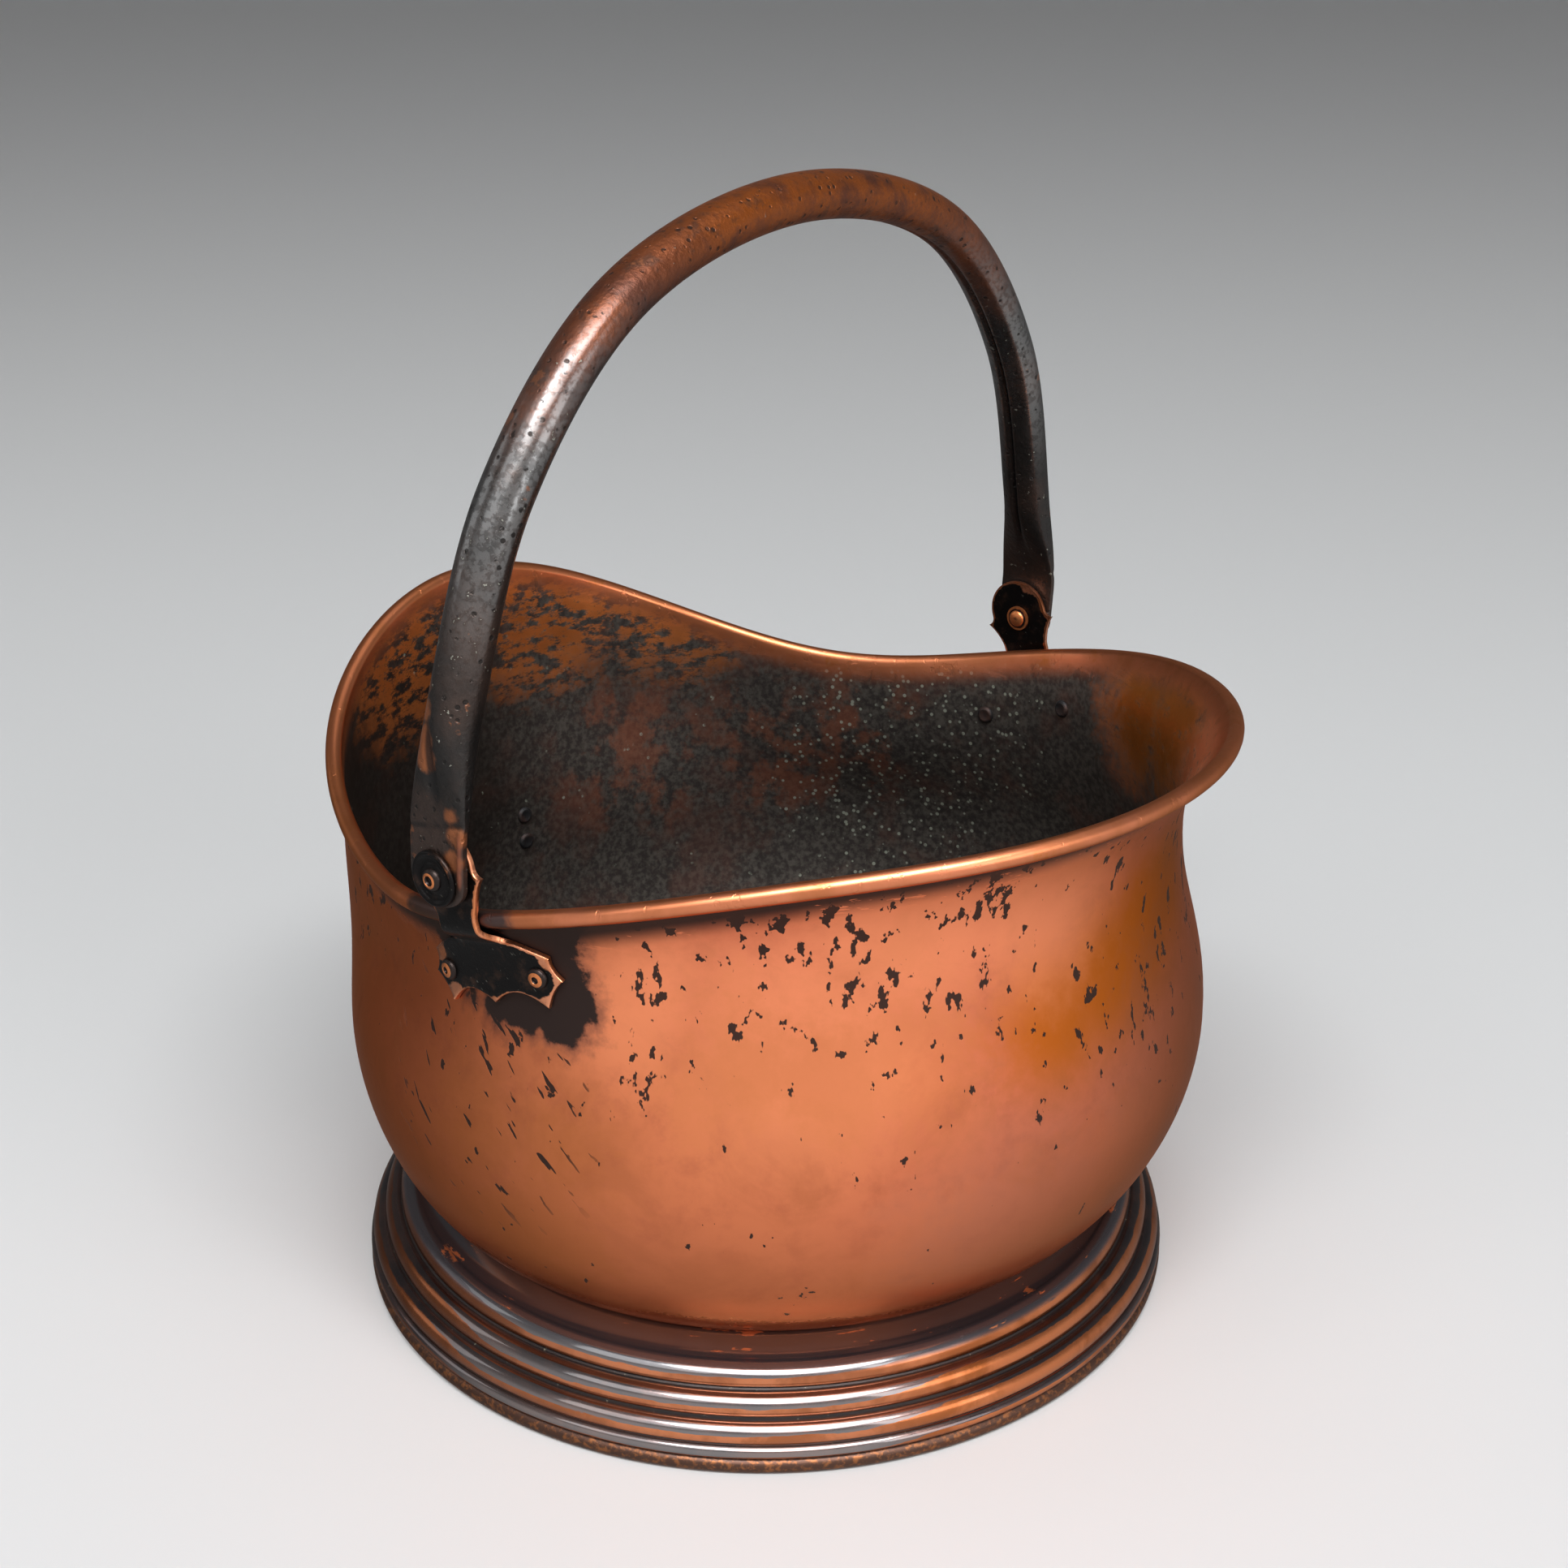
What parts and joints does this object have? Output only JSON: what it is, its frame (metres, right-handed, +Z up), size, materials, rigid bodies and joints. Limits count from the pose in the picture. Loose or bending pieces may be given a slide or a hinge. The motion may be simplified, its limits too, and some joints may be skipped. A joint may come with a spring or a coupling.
{
  "type": "coal scuttle",
  "caption": "Helmet coal scuttle: round-bellied copper bowl with pouring lip and high back on a reeded ring foot, swinging bail on scalloped ears, fixed tipping grip behind.",
  "frame": {"origin": "on the floor, under the middle of the whole object's bounding box at rest", "axes": "+X towards the pouring lip, +Y towards the left ear when looking along +X, +Z up; the bail's pivot axis is parallel to Y"},
  "size_m": [0.374, 0.3292, 0.4024],
  "materials": {
    "worn_copper": "worn satin copper with brown tarnish",
    "dark_copper": "tarnished copper, bright on the crests",
    "blackened_copper": "blackened copper with bare edges",
    "brown_copper": "dark brown copper polished by the hand",
    "edge_wire": "plain iron wire, hidden in the rolled edges"
  },
  "bodies": {
    "scuttle_body": {"bowl": "worn_copper", "rim_wire": "edge_wire", "base_plate": "blackened_copper", "foot_ring": "dark_copper", "foot_wire": "edge_wire", "right_ear": "blackened_copper", "right_ear_rear_rivet": "dark_copper", "right_ear_front_rivet": "dark_copper", "right_pivot_rivet": "dark_copper", "right_pivot_washer": "blackened_copper", "right_pivot_burr": "dark_copper", "left_ear": "blackened_copper", "left_ear_rear_rivet": "dark_copper", "left_ear_front_rivet": "dark_copper", "left_pivot_rivet": "dark_copper", "left_pivot_washer": "blackened_copper", "left_pivot_burr": "dark_copper", "rear_grip": "blackened_copper", "rear_grip_right_lower_rivet": "dark_copper", "rear_grip_right_upper_rivet": "dark_copper", "rear_grip_left_lower_rivet": "dark_copper", "rear_grip_left_upper_rivet": "dark_copper"},
    "bail": {"bail_handle": "brown_copper"}
  },
  "joints": [
    {"name": "bail_swing", "type": "hinge", "parent": "scuttle_body", "child": "bail", "pos_m": [0.01878, 0, 0.20775], "axis": [0, 1, 0], "range_deg": [-118, 77]}
  ]
}
